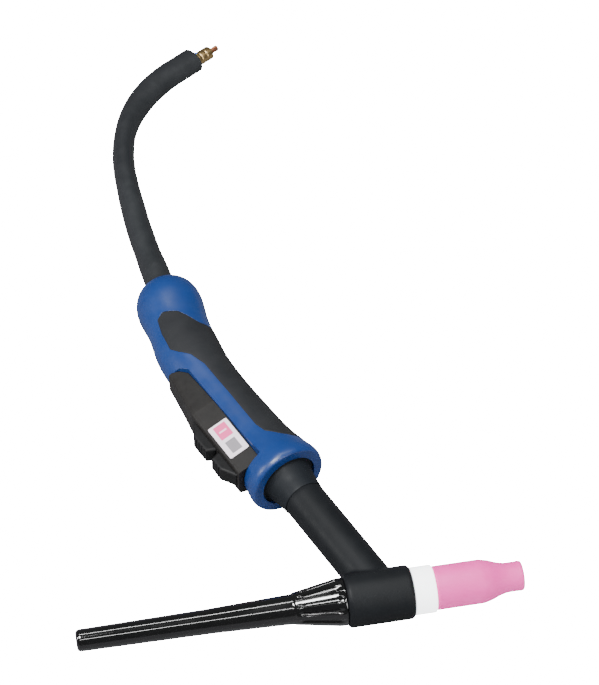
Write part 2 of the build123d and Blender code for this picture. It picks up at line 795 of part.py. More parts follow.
save(rating_label.part, "rating_label")


# ---- hose connector and switch lead inside the handle ---------------------------------------------------
SOCKET_RADIUS = 6.6
SOCKET_LENGTH = 10.0
NUT_RADIUS = 7.2
NUT_LENGTH = 9.0
NIPPLE_RADIUS = 2.1
with BuildPart() as hose_connector:
    with BuildSketch(neck_plane(NECK_TUBE_END - SOCKET_LENGTH)):
        Circle(SOCKET_RADIUS)
        Circle(NECK_TUBE_RADIUS + RUN, mode=Mode.SUBTRACT)
    extrude(amount=SOCKET_LENGTH)
    with BuildSketch(neck_plane(NECK_TUBE_END)):
        RegularPolygon(NUT_RADIUS, 6)
    extrude(amount=NUT_LENGTH)
    # a tapering stem that follows the handle's bend down to the hose
    with BuildSketch(neck_plane(NECK_TUBE_END + NUT_LENGTH)):
        Circle(4.5)
    for s, z, radius in ((90, HOSE_Z / 2, 3.6), (120, HOSE_Z, 3.0), (BALL_AT - 1.5, HOSE_Z, 1.5)):
        with BuildSketch(station(s, z)):
            Circle(radius)
    loft()
    with Locations(Location(station(BALL_AT, HOSE_Z))):
        Sphere(NIPPLE_RADIUS)
save(hose_connector.part, "hose_connector")

LEAD_BEND = 5.0
LEAD_RADIUS = 1.2
LEAD_MIDDLE = station(104, 2.6).from_local_coords((5.0, 0, 0))  # beside the connector's stem
with BuildPart() as switch_lead:
    with BuildLine() as lead_path:
        drop = Line(on_side(LEAD_EXIT, 15.8), on_side(LEAD_EXIT, 11.4))
        turn_back = JernArc(drop @ 1, drop % 1, radius=LEAD_BEND, arc_size=90)
        Spline(
            turn_back @ 1,
            LEAD_MIDDLE,
            station(BALL_AT - 1.5, CONTROL_Z).origin,
            tangents=(exit_station.z_dir, BALL_PLANE.z_dir),
        )
    with BuildSketch(Plane(origin=drop @ 0, z_dir=drop % 0)):
        Circle(LEAD_RADIUS)
    sweep()
save(switch_lead.part, "switch_lead")


# ---- ball joint and cable: these swing about the ball's centre -------------------------------------------
with BuildPart() as cable_ball_joint:
    with Locations(Location(BALL_PLANE)):
        Sphere(BALL_RADIUS)
    with BuildSketch(BALL_PLANE.offset(-7)):
        Circle(BALL_RADIUS)
    extrude(amount=-10, mode=Mode.SUBTRACT)
    with BuildSketch(BALL_PLANE):
        Circle(STUB_RADIUS)
    extrude(amount=STUB_LENGTH)
    with BuildSketch(BALL_PLANE.offset(-8)):
        Circle(STUB_BORE_RADIUS)
    extrude(amount=STUB_LENGTH + 9, mode=Mode.SUBTRACT)
    # the mouth inside the handle opens out, so that connector and lead stay clear
    with BuildSketch(BALL_PLANE.offset(-7)):
        Circle(STUB_BORE_RADIUS + 1.8)
    with BuildSketch(BALL_PLANE.offset(-1)):
        Circle(STUB_BORE_RADIUS)
    loft(mode=Mode.SUBTRACT)
save(cable_ball_joint.part, "cable_ball_joint")


def cable_path(start, tail, z=0.0):
    """The cable's centre line, from a distance past the ball's centre to a tail past its last bend."""
    with BuildLine() as path:
        straight = Line(
            station(BALL_AT + start, z).origin, station(BALL_AT + CABLE_STRAIGHT, z).origin
        )
        piece = straight
        for radius, turn in CABLE_BENDS:
            piece = JernArc(piece @ 1, piece % 1, radius=radius, arc_size=-turn)
        Line(piece @ 1, (piece @ 1) + (piece % 1) * tail)
    return path.line


def cable_layer(start, tail, z, radius, bore=0.0):
    """A round layer of the cable along its centre line."""
    path = cable_path(start, tail, z)
    with BuildPart() as layer:
        with BuildSketch(Plane(origin=path @ 0, z_dir=path % 0)):
            Circle(radius)
            if bore:
                Circle(bore, mode=Mode.SUBTRACT)
        sweep(path=path)
    return layer.part


with BuildPart() as cable_sleeve:
    add(cable_layer(STUB_LENGTH, CABLE_TAIL, 0, SLEEVE_RADIUS, SLEEVE_BORE_RADIUS))
    # the sleeve's mouth, stretched over the ball joint's stub
    with BuildSketch(BALL_PLANE.offset(SLEEVE_START)):
        Circle(SLEEVE_MOUTH_RADIUS)
        Circle(STUB_RADIUS + RUN, mode=Mode.SUBTRACT)
    extrude(amount=STUB_LENGTH - SLEEVE_START)
save(cable_sleeve.part, "cable_sleeve")

FERRULE_START = CABLE_TAIL + 1.5
FERRULE_LENGTH = 12.0
HOSE_END = FERRULE_START + FERRULE_LENGTH
save(cable_layer(0.6, HOSE_END, HOSE_Z, HOSE_RADIUS, HOSE_BORE_RADIUS), "gas_hose")
save(cable_layer(4.0, HOSE_END + 8, HOSE_Z, CONDUCTOR_RADIUS), "power_conductor")
save(cable_layer(1.5, CABLE_TAIL + 1, CONTROL_Z, CONTROL_RADIUS), "control_cable")

# the crimped ferrule on the hose's end, over which the next length of cable couples
hose_end = cable_path(0.6, FERRULE_START, HOSE_Z)
with BuildPart() as hose_ferrule:
    with BuildSketch(Plane(origin=hose_end @ 1, z_dir=hose_end % 1)):
        Circle(HOSE_RADIUS + 0.7)
        Circle(HOSE_RADIUS + RUN, mode=Mode.SUBTRACT)
    extrude(amount=FERRULE_LENGTH)
save(hose_ferrule.part, "hose_ferrule")
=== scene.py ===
"""Looks for the TIG torch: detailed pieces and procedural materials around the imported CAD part.

Lengths are in millimetres from the centre of the torch head until at() turns them into metres in
the row frame. Along the handle, s is the distance from its front face and t points to the trigger.
"""

from math import cos, degrees, pi, radians, sin

import bmesh
import bpy
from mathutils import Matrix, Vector, noise


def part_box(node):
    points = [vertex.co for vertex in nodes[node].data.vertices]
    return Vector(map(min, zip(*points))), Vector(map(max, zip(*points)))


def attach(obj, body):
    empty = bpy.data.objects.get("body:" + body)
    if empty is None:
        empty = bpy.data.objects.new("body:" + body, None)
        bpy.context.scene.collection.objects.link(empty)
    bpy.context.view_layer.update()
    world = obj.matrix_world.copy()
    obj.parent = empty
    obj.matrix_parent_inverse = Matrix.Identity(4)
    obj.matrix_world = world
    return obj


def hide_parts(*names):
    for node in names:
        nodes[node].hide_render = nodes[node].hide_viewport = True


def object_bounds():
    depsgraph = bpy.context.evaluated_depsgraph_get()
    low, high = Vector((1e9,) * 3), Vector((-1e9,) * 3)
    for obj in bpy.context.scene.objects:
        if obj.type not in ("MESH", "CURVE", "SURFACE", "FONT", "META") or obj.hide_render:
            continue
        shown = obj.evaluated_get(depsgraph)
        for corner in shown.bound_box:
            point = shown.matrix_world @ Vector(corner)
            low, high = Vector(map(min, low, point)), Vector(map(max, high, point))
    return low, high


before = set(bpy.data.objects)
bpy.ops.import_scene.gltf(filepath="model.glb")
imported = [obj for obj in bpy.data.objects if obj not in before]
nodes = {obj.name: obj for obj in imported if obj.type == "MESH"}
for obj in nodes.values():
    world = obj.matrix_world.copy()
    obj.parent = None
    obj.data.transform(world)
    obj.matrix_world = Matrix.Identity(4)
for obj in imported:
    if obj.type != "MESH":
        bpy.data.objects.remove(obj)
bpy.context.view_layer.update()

MM = 0.001

# the CAD's own driving sizes, in millimetres and degrees
NECK_ANGLE = 112.0
ROW_ORIGIN = 48.5  # along the neck, from the head's centre
HANDLE_START = 90.5
BEND_START = 88.0
BEND_RADIUS = 100.0
BEND_TURN = 14.0
BALL_AT = 148.5


# ---- frames --------------------------------------------------------------------------------------
def along(angle):
    """A unit vector in the torch's plane."""
    return Vector((cos(radians(angle)), sin(radians(angle)), 0))


NECK_AXIS = along(NECK_ANGLE)
HEAD_AXIS = Vector((1, 0, 0))
UP = Vector((0, 0, 1))


def at(point):
    """A point in millimetres from the head's centre, as metres in the row frame."""
    return (Vector(point) - NECK_AXIS * ROW_ORIGIN) * MM


def station(s):
    """Centre, trigger side and heading of the handle's centre line at distance s."""
    past_start = max(0.0, s - BEND_START)
    bend_length = BEND_RADIUS * radians(BEND_TURN)
    angle = NECK_ANGLE - degrees(min(past_start, bend_length) / BEND_RADIUS)
    centre = NECK_AXIS * (HANDLE_START + min(s, BEND_START))
    centre += (along(NECK_ANGLE - 90) - along(angle - 90)) * BEND_RADIUS
    centre += along(angle) * max(0.0, past_start - bend_length)
    return centre, along(angle + 90), along(angle)


# ---- mesh building -------------------------------------------------------------------------------
def new_piece(name, mesh, body, material, node=None, smooth_angle=40.0):
    """Links a finished mesh as a piece that rides on a body, in place of a CAD node if named."""
    piece = bpy.data.objects.new(name, mesh)
    bpy.context.scene.collection.objects.link(piece)
    mesh.materials.append(material)
    mesh.shade_smooth()
    mesh.set_sharp_from_angle(angle=radians(smooth_angle))
    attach(piece, body)
    if node:
        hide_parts(node)


def rounded(points, radius, steps=4, closed=True):
    """A profile with each corner replaced by a short curve."""
    result = []
    count = len(points)
    for i, point in enumerate(points):
        here = Vector(point)
        if not closed and i in (0, count - 1):
            result.append(here)
            continue
        before = Vector(points[i - 1]) - here
        after = Vector(points[(i + 1) % count]) - here
        reach_in = min(radius, before.length * 0.45)
        reach_out = min(radius, after.length * 0.45)
        start = here + before.normalized() * reach_in
        end = here + after.normalized() * reach_out
        for step in range(steps + 1):
            f = step / steps
            result.append(start * (1 - f) ** 2 + here * (2 * f * (1 - f)) + end * f**2)
    return result


def ring_mesh(name, rings, closed_rings=False, cap_ends=False):
    """A mesh from rings of points, each joined to the next, and the last to the first if closed."""
    shape = bmesh.new()
    made = [[shape.verts.new(point) for point in ring] for ring in rings]
    count = len(made[0])
    pairs = list(zip(made, made[1:]))
    if closed_rings:
        pairs.append((made[-1], made[0]))
    for ring, following in pairs:
        for k in range(count):
            after = (k + 1) % count
            shape.faces.new((ring[k], ring[after], following[after], following[k]))
    if cap_ends:
        shape.faces.new(list(reversed(made[0])))
        shape.faces.new(made[-1])
    bmesh.ops.remove_doubles(shape, verts=shape.verts, dist=1e-7)
    bmesh.ops.recalc_face_normals(shape, faces=shape.faces)
    mesh = bpy.data.meshes.new(name)
    shape.to_mesh(mesh)
    shape.free()
    return mesh


def revolved(name, profile, axis=HEAD_AXIS, segments=96, shape_radius=None):
    """A solid of revolution about a line through the head's centre, from distances and radii."""
    side = axis.cross(UP).normalized()
    rings = []
    for distance, radius in profile:
        ring = []
        for k in range(segments):
            turn = 2 * pi * k / segments
            r = radius if shape_radius is None else shape_radius(distance, radius, turn)
            ring.append(at(axis * distance + side * (r * cos(turn)) + UP * (r * sin(turn))))
        rings.append(ring)
    return ring_mesh(name, rings, closed_rings=True)


def softened_copy(name, node, voxel, smoothing, swell=0.0):
    """A copy of a CAD node's surface, remeshed evenly, swollen a little and smoothed."""
    mesh = nodes[node].data.copy()
    mesh.name = name
    mesh.materials.clear()
    piece = bpy.data.objects.new(name + "_work", mesh)
    bpy.context.scene.collection.objects.link(piece)
    remesh = piece.modifiers.new("even", "REMESH")
    remesh.mode = "VOXEL"
    remesh.voxel_size = voxel * MM
    if swell:
        push = piece.modifiers.new("swell", "DISPLACE")
        push.mid_level = 0.0
        push.strength = swell * MM
    smooth = piece.modifiers.new("soften", "SMOOTH")
    smooth.factor = 0.5
    smooth.iterations = smoothing
    view = bpy.context.evaluated_depsgraph_get()
    result = bpy.data.meshes.new_from_object(piece.evaluated_get(view))
    result.name = name
    bpy.data.objects.remove(piece)
    return result


# ---- materials -----------------------------------------------------------------------------------
class Shader:
    """A Principled material that is built up node by node."""

    def __init__(self, name, color, roughness, metallic=0.0):
        self.material = bpy.data.materials.new(name)
        self.material.use_nodes = True
        self.tree = self.material.node_tree
        self.surface = self.tree.nodes["Principled BSDF"]
        self.color = (*color, 1.0)
        self.surface.inputs["Base Color"].default_value = self.color
        self.surface.inputs["Roughness"].default_value = roughness
        self.surface.inputs["Metallic"].default_value = metallic
        self.place = self.add("ShaderNodeTexCoord").outputs["Object"]
        self.normal = None

    def add(self, kind, **values):
        """A new node: a value sets the input of its name, or else the node's own property."""
        node = self.tree.nodes.new(kind)
        for key, value in values.items():
            label = key.replace("_", " ")
            if label in node.inputs:
                node.inputs[label].default_value = value
            else:
                setattr(node, key, value)
        return node

    def link(self, source, target):
        self.tree.links.new(source, target)

    def noise(self, per_mm, detail=3.0, rough=0.55, stretch=None):
        """Noise with so many cells a millimetre; stretch scales the space along each axis first."""
        texture = self.add("ShaderNodeTexNoise", Scale=per_mm / MM, Detail=detail, Roughness=rough)
        source = self.place
        if stretch:
            mapping = self.add("ShaderNodeMapping", Scale=stretch)
            self.link(source, mapping.inputs["Vector"])
            source = mapping.outputs["Vector"]
        self.link(source, texture.inputs["Vector"])
        return texture.outputs["Fac"]

    def ramp(self, source, low, high, start=0.3, end=0.7):
        """Maps a factor between two values."""
        node = self.add("ShaderNodeMapRange", From_Min=start, From_Max=end, To_Min=low, To_Max=high)
        self.link(source, node.inputs["Value"])
        return node.outputs["Result"]

    def mottle(self, source, other_color, share=1.0):
        """Mixes a second colour in by a factor."""
        mix = self.add("ShaderNodeMix", data_type="RGBA")
        mix.inputs[6].default_value = self.color
        mix.inputs[7].default_value = (*other_color, 1.0)
        amount = self.ramp(source, 0.0, share)
        self.link(amount, mix.inputs[0])
        self.link(mix.outputs[2], self.surface.inputs["Base Color"])
        return self

    def uneven_gloss(self, source, low, high):
        """Lets roughness wander between two values."""
        self.link(self.ramp(source, low, high), self.surface.inputs["Roughness"])
        return self

    def bump(self, source, depth_mm, strength=1.0):
        """Adds relief of so many millimetres."""
        node = self.add("ShaderNodeBump", Strength=strength, Distance=depth_mm * MM)
        self.link(source, node.inputs["Height"])
        if self.normal is not None:
            self.link(self.normal, node.inputs["Normal"])
        self.normal = node.outputs["Normal"]
        return self

    def soft_edges(self, radius_mm):
        """Rounds the look of sharp edges; call it before bump()."""
        node = self.add("ShaderNodeBevel", samples=6, Radius=radius_mm * MM)
        self.normal = node.outputs["Normal"]
        return self

    def done(self):
        """Joins the normal and gives back the material."""
        if self.normal is not None:
            self.link(self.normal, self.surface.inputs["Normal"])
        return self.material

    def set(self, **values):
        """Sets other Principled inputs."""
        for key, value in values.items():
            self.surface.inputs[key.replace("_", " ")].default_value = value
        return self


def blue_plastic():
    """Satin blue moulding with a fine spark-eroded texture."""
    s = Shader("handle_blue", (0.0035, 0.022, 0.105), 0.36)
    s.mottle(s.noise(0.05, 4), (0.0025, 0.017, 0.085), 0.7)
    s.uneven_gloss(s.noise(0.12, 3), 0.31, 0.42)
    s.soft_edges(0.45)
    s.bump(s.noise(2.6, 2), 0.02, 0.35)
    return s.set(Specular_IOR_Level=0.4).done()


def soft_grip():
    """Matte black overmould with a fine leathery grain."""
    s = Shader("grip_black", (0.009, 0.0095, 0.011), 0.62)
    s.set(Specular_IOR_Level=0.16)
    s.mottle(s.noise(0.08, 4), (0.013, 0.0135, 0.015), 0.8)
    s.uneven_gloss(s.noise(0.2, 3), 0.55, 0.68)
    cells = s.add("ShaderNodeTexVoronoi", Scale=1.1 / MM)
    s.link(s.place, cells.inputs["Vector"])
    s.bump(cells.outputs["Distance"], 0.05, 0.5)
    s.bump(s.noise(4.0, 2), 0.02, 0.3)
    return s.done()


def moulded_rubber(name, color, low, high):
    """Moulded black rubber of the head, neck and boot."""
    s = Shader(name, color, low)
    s.set(Specular_IOR_Level=0.13)
    s.mottle(s.noise(0.07, 4), tuple(c * 1.5 for c in color), 0.6)
    s.uneven_gloss(s.noise(0.15, 4), low, high)
    s.bump(s.noise(1.5, 3), 0.03, 0.35)
    s.bump(s.noise(0.12, 2), 0.10, 0.25)
    return s.done()


def module_plastic():
    """Dark warm-grey housing with a coarser moulded texture."""
    s = Shader("module_black", (0.0085, 0.0078, 0.0075), 0.5)
    s.set(Specular_IOR_Level=0.2)
    s.mottle(s.noise(0.1, 4), (0.0125, 0.0115, 0.011), 0.8)
    s.uneven_gloss(s.noise(0.3, 3), 0.42, 0.56)
    s.soft_edges(0.5)
    s.bump(s.noise(3.2, 2), 0.03, 0.45)
    return s.done()


def button_rubber():
    """Deep matte black of the push buttons."""
    s = Shader("button_black", (0.004, 0.004, 0.0045), 0.55)
    s.set(Specular_IOR_Level=0.2)
    s.mottle(s.noise(0.2, 3), (0.006, 0.006, 0.0065), 0.7)
    s.uneven_gloss(s.noise(0.4, 3), 0.45, 0.62)
    s.bump(s.noise(3.0, 2), 0.03, 0.4)
    return s.done()


def glossy_cap():
    """Polished black phenolic of the back cap, with faint rubbing marks."""
    s = Shader("cap_black", (0.0015, 0.0015, 0.0016), 0.09)
    s.mottle(s.noise(0.1, 3), (0.003, 0.003, 0.003), 0.6)
    s.uneven_gloss(s.noise(0.18, 5, 0.6, (0.25, 1, 1)), 0.06, 0.16)
    s.bump(s.noise(0.3, 2, 0.5, (0.1, 1, 1)), 0.01, 0.1)
    return s.set(Coat_Weight=1.0, Coat_Roughness=0.03).done()


def alumina():
    """Pink fired alumina: matte, a little chalky, with fine pores."""
    s = Shader("alumina_pink", (0.60, 0.032, 0.25), 0.5)
    s.mottle(s.noise(0.09, 5), (0.65, 0.045, 0.29), 0.8)
    s.uneven_gloss(s.noise(0.25, 3), 0.42, 0.6)
    s.bump(s.noise(2.2, 4), 0.03, 0.4)
    s.set(Subsurface_Weight=0.08, Subsurface_Scale=0.002, Subsurface_Radius=(1.0, 0.6, 0.8))
    return s.done()


def ptfe():
    """White PTFE of the heat shield, slightly waxy, with a painted glow that lifts it to white."""
    s = Shader("ptfe_white", (0.95, 0.965, 0.97), 0.38)
    s.mottle(s.noise(0.12, 4), (0.92, 0.935, 0.94), 0.6)
    s.uneven_gloss(s.noise(0.2, 3), 0.32, 0.46)
    s.bump(s.noise(1.4, 3, 0.5, (4, 1, 1)), 0.02, 0.3)
    s.set(Subsurface_Weight=0.15, Subsurface_Scale=0.002)
    # painted light: the shield glows faintly white of its own, though it is no lamp
    s.set(Emission_Color=(0.96, 1.0, 1.0, 1.0), Emission_Strength=2.0)
    return s.done()


def metal(name, color, roughness, turned_axis=None):
    """Machined or drawn metal with fine tool lines and slight tarnish."""
    s = Shader(name, color, roughness, 1.0)
    s.mottle(s.noise(0.1, 5), tuple(c * 0.72 for c in color), 0.7)
    s.uneven_gloss(s.noise(0.4, 4), roughness * 0.75, roughness * 1.35)
    s.soft_edges(0.15)
    s.bump(s.noise(1.2, 3, 0.5, turned_axis), 0.01, 0.4)
    return s.done()


def plain_plastic(name, color, roughness=0.45):
    """Small moulded parts and insulation."""
    s = Shader(name, color, roughness)
    s.mottle(s.noise(0.2, 3), tuple(c * 1.3 for c in color), 0.5)
    s.uneven_gloss(s.noise(0.5, 3), roughness * 0.85, roughness * 1.2)
    s.soft_edges(0.2)
    s.bump(s.noise(3.0, 2), 0.02, 0.3)
    return s.done()


def sleeve_rubber():
    """Cool black cable sleeve, matte with scuffs."""
    s = Shader("sleeve_black", (0.009, 0.010, 0.0115), 0.5)
    s.set(Specular_IOR_Level=0.28)
    s.mottle(s.noise(0.05, 5), (0.014, 0.0152, 0.017), 0.7)
    s.uneven_gloss(s.noise(0.1, 4), 0.42, 0.6)
    s.bump(s.noise(1.6, 3), 0.04, 0.4)
    s.bump(s.noise(0.25, 3), 0.12, 0.25)
    return s.done()


BLUE = blue_plastic()
GRIP = soft_grip()
HEAD_RUBBER = moulded_rubber("head_rubber", (0.0045, 0.005, 0.006), 0.42, 0.56)
BOOT_RUBBER = moulded_rubber("boot_rubber", (0.005, 0.006, 0.0078), 0.5, 0.64)
MODULE = module_plastic()
BUTTON = button_rubber()
CAP = glossy_cap()
ALUMINA = alumina()
PTFE = ptfe()
BRASS = metal("brass_head", (0.72, 0.50, 0.22), 0.3)
COPPER = metal("copper", (0.78, 0.38, 0.22), 0.32)
TUNGSTEN = metal("tungsten", (0.42, 0.42, 0.44), 0.34, (0.1, 1, 1))
STEEL = metal("steel_screw", (0.5, 0.5, 0.52), 0.3)
BOARD = plain_plastic("board_green", (0.02, 0.13, 0.05), 0.4)
SWITCH = plain_plastic("switch_black", (0.03, 0.03, 0.03))
PLUNGER = plain_plastic("plunger_red", (0.45, 0.04, 0.03))
SEAL = plain_plastic("seal_rubber", (0.02, 0.02, 0.02), 0.5)
LEAD = plain_plastic("lead_grey", (0.10, 0.10, 0.105), 0.5)
HOSE = plain_plastic("hose_grey", (0.05, 0.05, 0.055), 0.42)
BALL = plain_plastic("ball_black", (0.02, 0.02, 0.021), 0.35)
SLEEVE = sleeve_rubber()


# ---- rating label: plain colour blocks, no lettering ---------------------------------------------
LABEL_STATION = 31  # where along the handle the label sits


def label_print():
    """White film with a pink field and a grey one, placed from the label's own centre."""
    s = Shader("label_paper", (0.62, 0.55, 0.60), 0.4)
    low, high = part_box("rating_label")
    centre = (low + high) / 2
    _, to_trigger, to_cable = station(LABEL_STATION)
    lengthwise = s.add("ShaderNodeVectorMath", operation="DOT_PRODUCT")
    away = s.add("ShaderNodeVectorMath", operation="SUBTRACT")
    away.inputs[1].default_value = centre
    s.link(s.place, away.inputs[0])
    s.link(away.outputs[0], lengthwise.inputs[0])
    lengthwise.inputs[1].default_value = to_cable
    crosswise = s.add("ShaderNodeVectorMath", operation="DOT_PRODUCT")
    s.link(away.outputs[0], crosswise.inputs[0])
    crosswise.inputs[1].default_value = to_trigger

    print_edge = 0.25

    def between(source, start, end):
        """1 where a coordinate lies between two millimetre marks, with soft printed edges."""
        rise = s.ramp(source, 0.0, 1.0, start * MM, (start + print_edge) * MM)
        fall = s.ramp(source, 1.0, 0.0, (end - print_edge) * MM, end * MM)
        both = s.add("ShaderNodeMath", operation="MULTIPLY")
        s.link(rise, both.inputs[0])
        s.link(fall, both.inputs[1])
        return both.outputs[0]

    along_label = lengthwise.outputs["Value"]
    across_label = crosswise.outputs["Value"]
    color = None
    # a pink field with a pale bar in it at one end, a plain grey field at the other
    blocks = (
        ((0.8, 10.8), (-3.9, 3.6), (0.58, 0.06, 0.20)),
        ((5.2, 6.6), (-2.4, 2.2), (0.70, 0.42, 0.52)),
        ((-10.0, -1.2), (-3.0, 3.2), (0.17, 0.155, 0.17)),
    )
    for (start, end), (low_edge, high_edge), paint in blocks:
        area = s.add("ShaderNodeMath", operation="MULTIPLY")
        s.link(between(along_label, start, end), area.inputs[0])
        s.link(between(across_label, low_edge, high_edge), area.inputs[1])
        mix = s.add("ShaderNodeMix", data_type="RGBA")
        mix.inputs[6].default_value = s.color
        mix.inputs[7].default_value = (*paint, 1.0)
        if color is not None:
            s.link(color, mix.inputs[6])
        s.link(area.outputs[0], mix.inputs[0])
        color = mix.outputs[2]
    s.link(color, s.surface.inputs["Base Color"])
    s.uneven_gloss(s.noise(0.3, 3), 0.34, 0.46)
    s.soft_edges(0.1)
    s.bump(s.noise(1.5, 2), 0.01, 0.2)
    return s.done()


LABEL = label_print()


# ---- CAD nodes that stay in view, with their finishes --------------------------------------------
CAD_SHARP_ANGLE = 32.0
FINISHES = {
    "torch_body": (BRASS, "brass_head"),
    "neck_tube": (COPPER, "copper"),
    "collet_body": (COPPER, "copper"),
    "collet": (COPPER, "copper"),
    "tungsten_electrode": (TUNGSTEN, "tungsten"),
    "cap_seal": (SEAL, "seal_rubber"),
    "handle_shell_left": (BLUE, "handle_blue"),
    "handle_shell_right": (BLUE, "handle_blue"),
    "shell_screws": (STEEL, "steel_screw"),
    "switch_module_housing": (MODULE, "module_black"),
    "rating_label": (LABEL, "label_paper"),
    "plunger_front": (PLUNGER, "plunger_red"),
    "plunger_rear": (PLUNGER, "plunger_red"),
    "micro_switches": (SWITCH, "switch_black"),
    "switch_board": (BOARD, "board_green"),
    "switch_lead": (LEAD, "lead_grey"),
    "hose_connector": (BRASS, "brass_head"),
    "cable_ball_joint": (BALL, "ball_black"),
}
for node, (finish, slot_name) in FINISHES.items():
    cad = nodes[node]
    cad.data.materials.clear()
    cad.data.materials.append(finish)
    cad.data.shade_smooth()
    cad.data.set_sharp_from_angle(angle=radians(CAD_SHARP_ANGLE))


# ---- gas nozzle and heat shield ------------------------------------------------------------------
NOZZLE_BACK = 26.1
NOZZLE_WAIST = 51.0  # where the shoulder down to the tip begins
NOZZLE_FRONT = 72.7
NOZZLE_BASE_RADIUS = 11.4
NOZZLE_TIP_RADIUS = 7.7
NOZZLE_THREAD_RADIUS = 7.05
NOZZLE_MOUTH_RADIUS = 5.7

nozzle_profile = rounded(
    [
        (NOZZLE_BACK, NOZZLE_THREAD_RADIUS),
        (NOZZLE_BACK, NOZZLE_BASE_RADIUS),
        (NOZZLE_WAIST, NOZZLE_BASE_RADIUS),
        (55.5, 10.4),
        (60.0, 8.6),
        (64.0, NOZZLE_TIP_RADIUS),
        (70.0, NOZZLE_TIP_RADIUS),
        (71.2, 7.9),
        (NOZZLE_FRONT, 7.5),
        (NOZZLE_FRONT, NOZZLE_MOUTH_RADIUS),
        (61.5, NOZZLE_MOUTH_RADIUS),
        (NOZZLE_WAIST, NOZZLE_THREAD_RADIUS),
    ],
    radius=1.4,
    steps=6,
)
new_piece(
    "gas_nozzle_look",
    revolved("gas_nozzle_look", nozzle_profile),
    "nozzle",
    ALUMINA,
    "gas_nozzle",
)

SHIELD_BACK = 12.15
HEAD_FRONT = 14.7
SHIELD_FRONT = 26.0
SHIELD_RADIUS = 12.4
SHIELD_SPIGOT_RADIUS = 7.9
SHIELD_BORE_RADIUS = 5.85

shield_profile = rounded(
    [
        (SHIELD_BACK, SHIELD_BORE_RADIUS),
        (SHIELD_BACK, SHIELD_SPIGOT_RADIUS),
        (HEAD_FRONT, SHIELD_SPIGOT_RADIUS),
        (HEAD_FRONT, SHIELD_RADIUS),
        (SHIELD_FRONT, SHIELD_RADIUS),
        (SHIELD_FRONT, SHIELD_BORE_RADIUS),
    ],
    radius=0.8,
)
new_piece(
    "heat_shield_look",
    revolved("heat_shield_look", shield_profile),
    "torch",
    PTFE,
    "heat_shield_ring",
)


# ---- back cap with its grip flutes ---------------------------------------------------------------
CAP_FRONT = -2.5
CAP_SHOULDER = -20.1
CAP_BACK = -158.0
CAP_THREAD_RADIUS = 6.4
CAP_NECK_RADIUS = 6.0
CAP_MOUTH_RADIUS = 3.4
CAP_BORE_RADIUS = 2.4
FLARE_START = -21.5
FLARE_LENGTH = 25
FLARE_STRAIGHT = 2  # its length before it narrows
FLARE_RADIUS = 12.3
FLARE_NARROWING = 4.0
CAP_FLUTES = 12
FLUTE_START = -43.0
FLUTE_END = -23.5
FLUTE_DEPTH = 1.1
FLUTE_RUNOUT = 2
FLUTE_FADE = 3
FLUTED_ABOVE = 7.9  # the radius under which the surface stays plain


def fluted(distance, radius, turn):
    """Sinks round-bottomed grooves into the flare, fading out at both ends."""
    past_start = distance - FLUTE_START + FLUTE_RUNOUT
    before_end = FLUTE_END + FLUTE_RUNOUT - distance
    if radius < FLUTED_ABOVE or past_start <= 0 or before_end <= 0:
        return radius
    fade = min(1.0, past_start / FLUTE_FADE, before_end / FLUTE_FADE)
    groove = max(0.0, cos(CAP_FLUTES * turn)) ** 0.8
    return radius - FLUTE_DEPTH * fade * groove


def flare_point(k):
    """A point k millimetres along the flare: straight at first, then narrowing evenly."""
    narrowed = FLARE_NARROWING * max(0, k - FLARE_STRAIGHT) / (FLARE_LENGTH - FLARE_STRAIGHT)
    return Vector((FLARE_START - k, FLARE_RADIUS - narrowed))


flare = [flare_point(k) for k in range(FLARE_LENGTH + 1)]
thread = [
    (CAP_FRONT, CAP_MOUTH_RADIUS),
    (CAP_FRONT, CAP_THREAD_RADIUS),
    (-16.3, CAP_THREAD_RADIUS),
    (-16.5, CAP_NECK_RADIUS),
    (CAP_SHOULDER, CAP_NECK_RADIUS),
]
shoulder = [(CAP_SHOULDER, CAP_NECK_RADIUS), (CAP_SHOULDER, FLARE_RADIUS), flare[0]]
tube = [(-46.5, 8.3), (-47.1, 7.8), (-91.0, 6.4), (-156.8, 5.7), (CAP_BACK, 4.5), (CAP_BACK, 0.0)]
bore = [
    (CAP_BACK + 3.0, 0.0),
    (CAP_BACK + 3.0, CAP_BORE_RADIUS),
    (-11.5, CAP_BORE_RADIUS),
    (-7.5, CAP_MOUTH_RADIUS),
]
cap_profile = (
    rounded(thread, 0.4, 3, closed=False)
    + rounded(shoulder, 0.8, 4, closed=False)
    + flare
    + rounded(tube, 1.2, 5, closed=False)
    + [Vector(point) for point in bore]
)
new_piece(
    "back_cap_look",
    revolved("back_cap_look", cap_profile, segments=192, shape_radius=fluted),
    "cap",
    CAP,
    "back_cap",
    smooth_angle=50,
)


# ---- head, boot and soft grip --------------------------------------------------------------------
new_piece(
    "head_insulator_look",
    softened_copy("head_insulator_look", "head_insulator", voxel=0.5, smoothing=20),
    "torch",
    HEAD_RUBBER,
    "head_insulator",
    smooth_angle=80,
)

boot_profile = rounded(
    [
        (75.5, 11.05),
        (75.5, 11.5),
        (82.5, 12.1),
        (87.5, 13.2),
        (91.7, 14.4),
        (91.7, 15.8),
        (93.4, 15.8),
        (93.4, 14.3),
        (97.5, 14.3),
        (97.5, 11.05),
    ],
    radius=2.0,
)
new_piece(
    "neck_boot_look",
    revolved("neck_boot_look", boot_profile, axis=NECK_AXIS),
    "torch",
    BOOT_RUBBER,
    "neck_boot",
    smooth_angle=60,
)

for side in ("left", "right"):
    name, node = f"grip_{side}_look", f"grip_inlay_{side}"
    mesh = softened_copy(name, node, voxel=0.4, smoothing=3, swell=0.18)
    new_piece(name, mesh, "torch", GRIP, node, smooth_angle=80)

for place in ("front", "rear"):
    name, node = f"button_{place}_look", f"trigger_button_{place}"
    mesh = softened_copy(name, node, voxel=0.22, smoothing=2)
    new_piece(name, mesh, f"{place}_trigger", BUTTON, node, smooth_angle=80)


